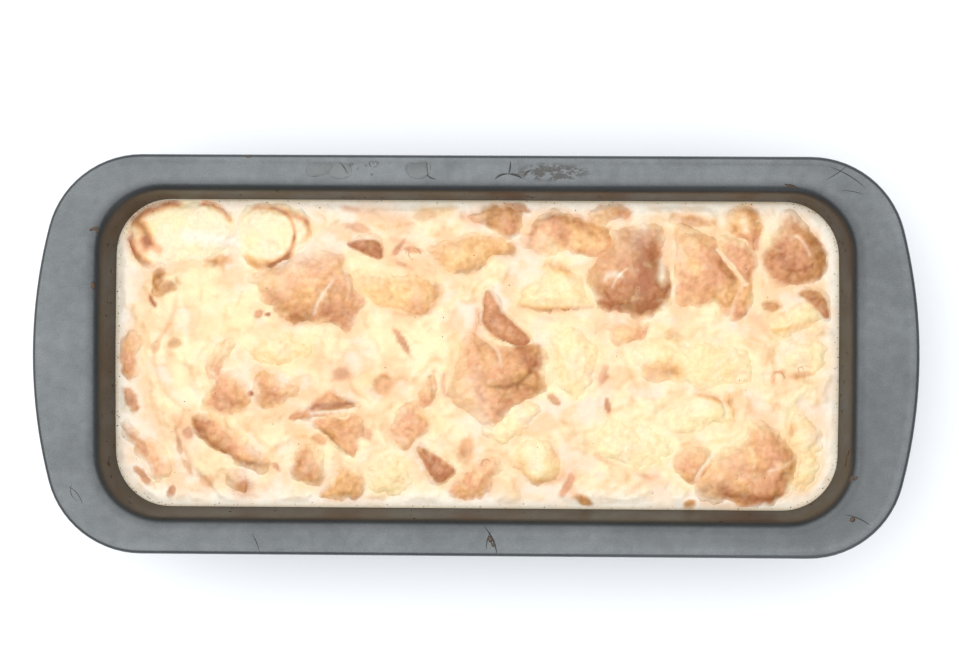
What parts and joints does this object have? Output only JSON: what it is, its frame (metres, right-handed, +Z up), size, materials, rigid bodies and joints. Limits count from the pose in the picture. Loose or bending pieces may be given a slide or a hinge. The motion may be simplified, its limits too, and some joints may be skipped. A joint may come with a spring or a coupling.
{
  "type": "bread pudding in a loaf tin",
  "caption": "Unbaked bread pudding: torn crusts and crumb soaking in egg custard, in a grey loaf tin with a wide flat rim and bowed ends.",
  "frame": {"origin": "centre of the tin's underside", "axes": "+X along the tin, +Y across it, +Z up out of its mouth"},
  "size_m": [0.285, 0.1288, 0.062],
  "materials": {
    "tin": "satin grey non-stick coat, fine speckle, baked-on brown stain inside",
    "custard": "glossy opaque cream custard, paler and pinker between the bread",
    "crust": "wet golden to pink-brown bread crust with a thin film of custard",
    "crumb": "wet pale yellow bread crumb, fine pores",
    "roll_slice": "wet cream roll crumb with a brown crust round its edge"
  },
  "bodies": {
    "root": {"loaf_tin": "tin", "custard": "custard", "roll_slice_1": "roll_slice", "roll_slice_2": "roll_slice", "crust_01": "crust", "crust_02": "crust", "crust_03": "crust", "crust_04": "crust", "crust_05": "crust", "crust_06": "crust", "crust_07": "crust", "crust_08": "crust", "crust_09": "crust", "crust_10": "crust", "crust_11": "crust", "crust_12": "crust", "crust_13": "crust", "crust_14": "crust", "crust_15": "crust", "crust_16": "crust", "crust_17": "crust", "crust_18": "crust", "crust_19": "crust", "crust_20": "crust", "crust_21": "crust", "crust_22": "crust", "crust_23": "crust", "crust_24": "crust", "crust_25": "crust", "crust_26": "crust", "crust_27": "crust", "crust_28": "crust", "crust_29": "crust", "crust_30": "crust", "crumb_01": "crumb", "crumb_02": "crumb", "crumb_03": "crumb", "crumb_04": "crumb", "crumb_05": "crumb", "crumb_06": "crumb", "crumb_07": "crumb", "crumb_08": "crumb", "crumb_09": "crumb", "crumb_10": "crumb", "crumb_11": "crumb", "crumb_12": "crumb", "crumb_13": "crumb", "crumb_14": "crumb", "crumb_15": "crumb"}
  },
  "joints": []
}
